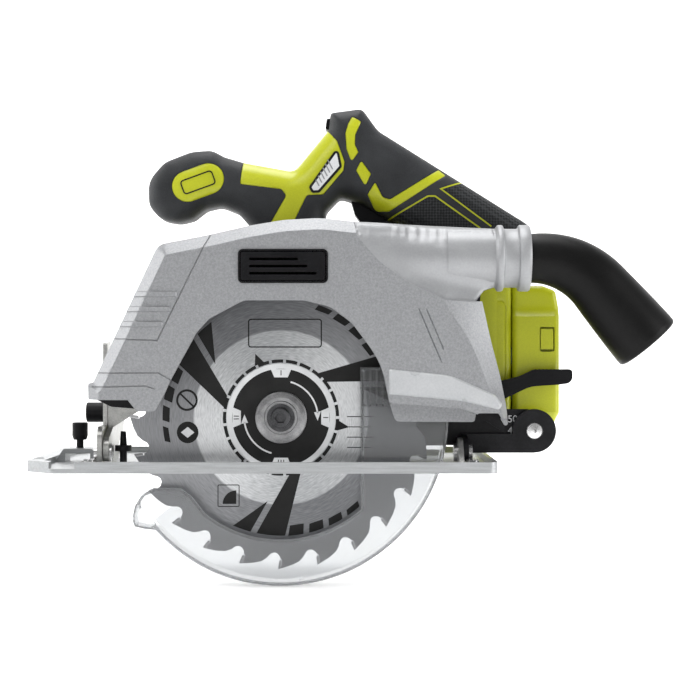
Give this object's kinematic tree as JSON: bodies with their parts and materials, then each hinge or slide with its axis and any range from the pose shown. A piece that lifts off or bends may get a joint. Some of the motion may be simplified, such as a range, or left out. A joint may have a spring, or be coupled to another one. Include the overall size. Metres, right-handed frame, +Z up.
{
  "type": "circular saw",
  "caption": "Battery circular saw with a swinging clear guard, tilting and depth-adjusting head, dust elbow and slide-on battery on a ribbed-edge aluminium shoe.",
  "frame": {"origin": "centre of the shoe's sole, on the face that rides on the work", "axes": "+X to the back of the saw, +Z up, blade on the -Y side"},
  "size_m": [0.3494, 0.15, 0.2641],
  "materials": {
    "aluminium_sheet": "satin",
    "zinc_steel": "satin",
    "black_steel": "matte",
    "silver_cast": "satin",
    "case_cast": "cast",
    "blade_steel": "brushed",
    "carbide": "satin",
    "clear_guard": "clear polycarbonate",
    "lime_plastic": "satin",
    "black_plastic": "matte",
    "grey_plastic": "satin",
    "grip_rubber": "matte",
    "elbow_rubber": "matte",
    "bright_steel": "polished",
    "magnet": "matte",
    "copper": "satin",
    "cell_wrap": "gloss"
  },
  "bodies": {
    "base": {"shoe": "aluminium_sheet", "stand_rivets": "bright_steel", "bevel_quadrant": "zinc_steel", "rear_ear": "zinc_steel", "bevel_stop_screw": "black_steel"},
    "guide_clamp": {"guide_clamp_screw": "black_plastic"},
    "bevel_carriage": {"front_bracket": "zinc_steel", "carriage_pins": "bright_steel", "depth_link": "black_steel", "rear_arm": "black_steel"},
    "bevel_lock": {"bevel_bolt": "zinc_steel", "bevel_knob": "black_plastic"},
    "saw_head": {"upper_guard": "silver_cast", "dust_duct": "silver_cast", "guard_backplate": "black_steel", "gear_case": "case_cast", "gear_case_cover": "case_cast", "bearings": "bright_steel", "guard_retainer": "zinc_steel", "guard_spring": "bright_steel", "motor_can": "zinc_steel", "motor_magnets": "magnet", "brush_holders": "copper", "housing_left": "lime_plastic", "housing_right": "lime_plastic", "switch_module": "black_plastic", "grip_left": "grip_rubber", "grip_right": "grip_rubber", "side_vent": "grey_plastic", "motor_housing": "lime_plastic", "motor_end_cap": "black_plastic", "terminal_block": "black_plastic", "depth_clamp_bolt": "zinc_steel", "badge_plate": "black_plastic", "case_screws": "zinc_steel", "housing_screws": "zinc_steel"},
    "blade_spindle": {"blade": "blade_steel", "blade_tips": "carbide", "outer_flange": "bright_steel", "inner_flange": "zinc_steel", "blade_screw": "bright_steel", "spindle": "zinc_steel", "spindle_gear": "zinc_steel"},
    "rotor": {"rotor_shaft": "zinc_steel", "rotor_core": "copper", "commutator": "copper", "cooling_fan": "black_plastic"},
    "lower_guard": {"lower_guard": "clear_guard", "guard_hub": "zinc_steel", "guard_lever": "black_plastic"},
    "dust_elbow": {"dust_elbow": "elbow_rubber"},
    "depth_lever": {"depth_lever": "black_plastic"},
    "trigger": {"trigger": "black_plastic"},
    "lock_off": {"lock_off_button": "black_plastic"},
    "spindle_lock": {"spindle_lock_button": "black_plastic"},
    "battery": {"battery_case": "lime_plastic", "battery_terminals": "copper", "battery_cells": "cell_wrap"},
    "latch_left": {"battery_latch_left": "black_plastic"},
    "latch_right": {"battery_latch_right": "black_plastic"}
  },
  "joints": [
    {"name": "bevel_tilt", "type": "hinge", "parent": "base", "child": "bevel_carriage", "pos_m": [0, -0.045, 0.0095], "axis": [1, 0, 0], "range_deg": [0, 50]},
    {"name": "depth_swing", "type": "hinge", "parent": "bevel_carriage", "child": "saw_head", "pos_m": [-0.076, -0.033, 0.044], "axis": [0, -1, 0], "range_deg": [0, 33]},
    {"name": "guide_screw_turn", "type": "hinge", "parent": "base", "child": "guide_clamp", "pos_m": [-0.105, -0.01, 0.012], "axis": [0, 0, 1], "range_deg": [0, 360]},
    {"name": "bevel_knob_turn", "type": "hinge", "parent": "bevel_carriage", "child": "bevel_lock", "pos_m": [-0.095, 0.00656, 0.0295], "axis": [1, 0, 0], "range_deg": [0, 270]},
    {"name": "blade_spin", "type": "hinge", "parent": "saw_head", "child": "blade_spindle", "pos_m": [0.01, -0.045, 0.0285], "axis": [0, 1, 0], "continuous": true},
    {"name": "rotor_spin", "type": "hinge", "parent": "saw_head", "child": "rotor", "pos_m": [0.03051, 0.01, 0.04901], "axis": [0, 1, 0], "continuous": true},
    {"name": "guard_swing", "type": "hinge", "parent": "saw_head", "child": "lower_guard", "pos_m": [0.01, -0.038, 0.0285], "axis": [0, -1, 0], "range_deg": [0, 115], "stiffness_Nm_per_rad": 0.2, "springref_deg": -57.3},
    {"name": "elbow_swivel", "type": "hinge", "parent": "saw_head", "child": "dust_elbow", "pos_m": [0.139, -0.051, 0.115], "axis": [1, 0, 0], "range_deg": [-150, 20]},
    {"name": "depth_lever_turn", "type": "hinge", "parent": "saw_head", "child": "depth_lever", "pos_m": [0.088, -0.023, 0.036], "axis": [0, -1, 0], "range_deg": [0, 50]},
    {"name": "trigger_pull", "type": "slide", "parent": "saw_head", "child": "trigger", "axis": [0.53, 0, 0.848], "range_m": [0, 0.006], "stiffness_N_per_m": 700, "springref_m": -0.003},
    {"name": "lock_off_push", "type": "slide", "parent": "saw_head", "child": "lock_off", "axis": [1, 0, 0], "range_m": [0, 0.0025], "stiffness_N_per_m": 500, "springref_m": -0.002},
    {"name": "spindle_lock_push", "type": "slide", "parent": "saw_head", "child": "spindle_lock", "axis": [0, -1, 0], "range_m": [0, 0.0035], "stiffness_N_per_m": 500, "springref_m": -0.002},
    {"name": "battery_slide", "type": "slide", "parent": "saw_head", "child": "battery", "axis": [1, 0, 0], "range_m": [0, 0.075]},
    {"name": "latch_left_push", "type": "slide", "parent": "battery", "child": "latch_left", "axis": [0, 1, 0], "range_m": [0, 0.0015], "stiffness_N_per_m": 500, "springref_m": -0.002},
    {"name": "latch_right_push", "type": "slide", "parent": "battery", "child": "latch_right", "axis": [0, -1, 0], "range_m": [0, 0.0015], "stiffness_N_per_m": 500, "springref_m": -0.002}
  ],
  "couplings": [
    {"joint": "rotor_spin", "follows": "blade_spin", "ratio": -3.8333}
  ]
}
